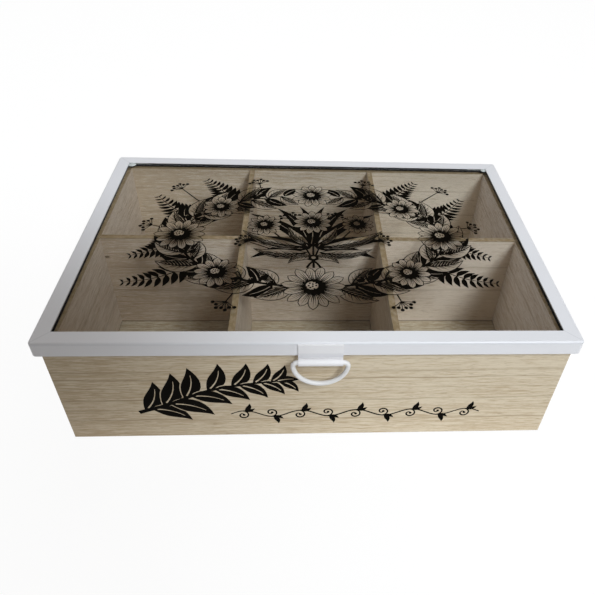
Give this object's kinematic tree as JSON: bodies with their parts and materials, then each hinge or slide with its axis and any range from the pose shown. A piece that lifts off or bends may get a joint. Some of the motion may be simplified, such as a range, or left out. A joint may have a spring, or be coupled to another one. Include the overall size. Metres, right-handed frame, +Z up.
{
  "type": "tea box",
  "caption": "Wooden tea box: egg-crate compartments under a hinged, metal-framed glass lid that is lifted by a D-ring pull.",
  "frame": {"origin": "centre of the wooden box's footprint, on the plane of its underside", "axes": "+Z up, +X to the right along the long side, -Y out of the front, the side with the pull"},
  "size_m": [0.24, 0.1703, 0.068],
  "materials": {
    "wood": "bare, fine straight grain",
    "white_coat": "satin powder coat",
    "glass": "clear, polished",
    "glue": "translucent silicone",
    "zinc_steel": "zinc plated"
  },
  "bodies": {
    "box": {"front_wall": "wood", "back_wall": "wood", "left_wall": "wood", "right_wall": "wood", "bottom_board": "wood", "long_divider": "wood", "cross_divider_left": "wood", "cross_divider_right": "wood", "hinge_box_leaf_left": "zinc_steel", "hinge_box_leaf_right": "zinc_steel", "hinge_pin_left": "zinc_steel", "hinge_pin_right": "zinc_steel", "hinge_screws": "zinc_steel"},
    "lid": {"lid_frame": "white_coat", "glass_pane": "glass", "glass_glue": "glue", "handle_strap": "white_coat", "hinge_lid_leaf_left": "zinc_steel", "hinge_lid_leaf_right": "zinc_steel", "hinge_rivets": "zinc_steel"},
    "pull": {"handle_ring": "white_coat"}
  },
  "joints": [
    {"name": "lid_hinge", "type": "hinge", "parent": "box", "child": "lid", "pos_m": [0, 0.08163, 0.05853], "axis": [-1, 0, 0], "range_deg": [0, 105]},
    {"name": "ring_swing", "type": "hinge", "parent": "lid", "child": "pull", "pos_m": [0.0024, -0.08418, 0.05767], "axis": [-1, 0, 0], "range_deg": [-11, 175]}
  ]
}
